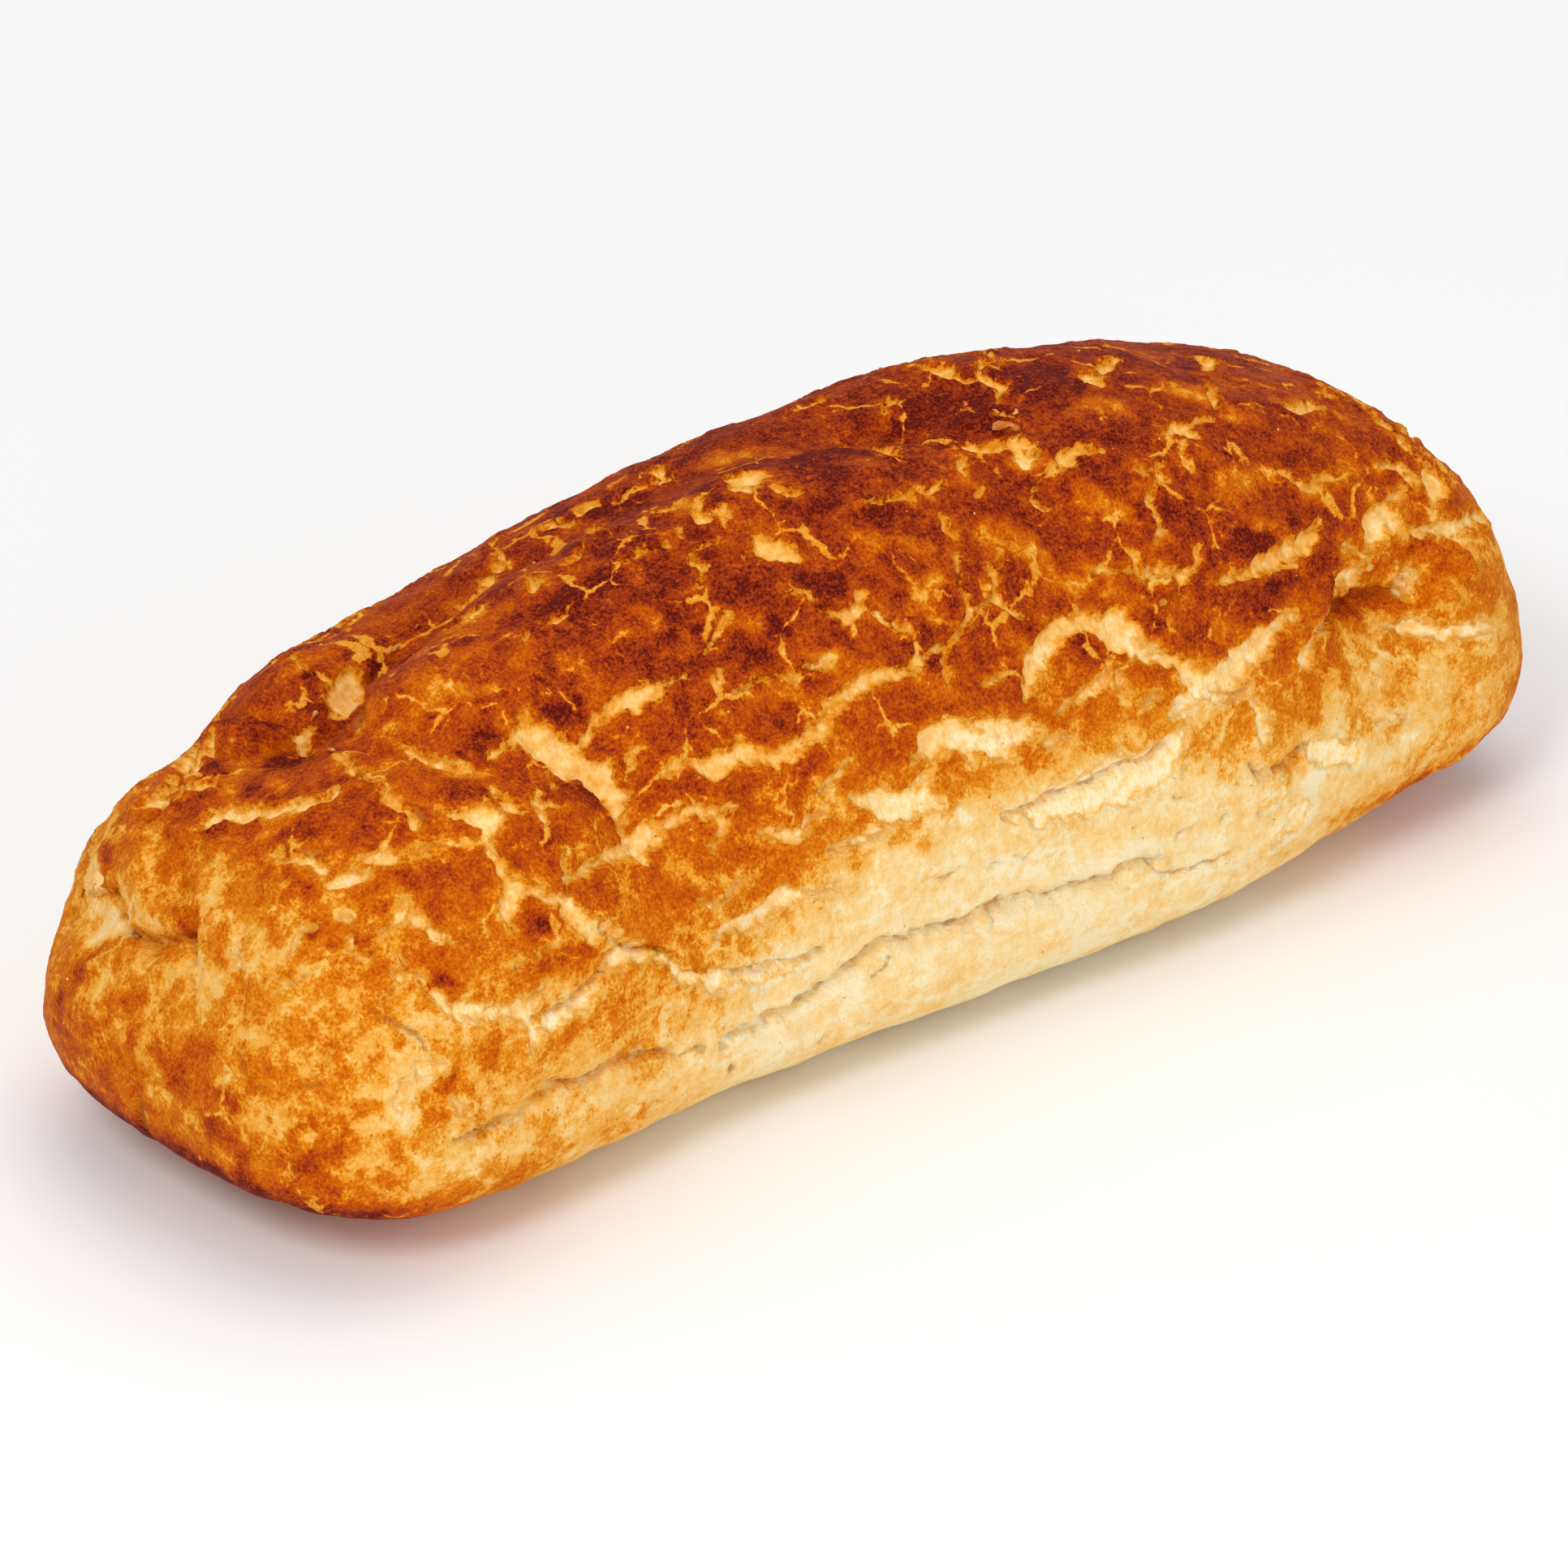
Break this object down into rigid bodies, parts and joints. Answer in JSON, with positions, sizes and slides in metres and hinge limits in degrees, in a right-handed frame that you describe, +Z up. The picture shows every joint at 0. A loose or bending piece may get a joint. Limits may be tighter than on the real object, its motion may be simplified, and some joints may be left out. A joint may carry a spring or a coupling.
{
  "type": "tiger bread loaf",
  "caption": "Long, hand-shaped white bread loaf with a domed, folded top, rounded ends and a flat base, its browned crust cracked into plates; whole and uncut.",
  "frame": {"origin": "middle of the loaf's box, at the height of its flat base", "axes": "+X along the length from the lower, folded end to the taller end, -Y towards the front side, +Z up"},
  "size_m": [0.301, 0.1184, 0.0951],
  "materials": {
    "tiger_crust": "baked bread crust: red-brown cracked plates on top, fading through orange and gold to flour-pale cream low on the sides, matte with a faint sheen on the plates"
  },
  "bodies": {
    "root": {"tiger_loaf": "tiger_crust"}
  },
  "joints": []
}
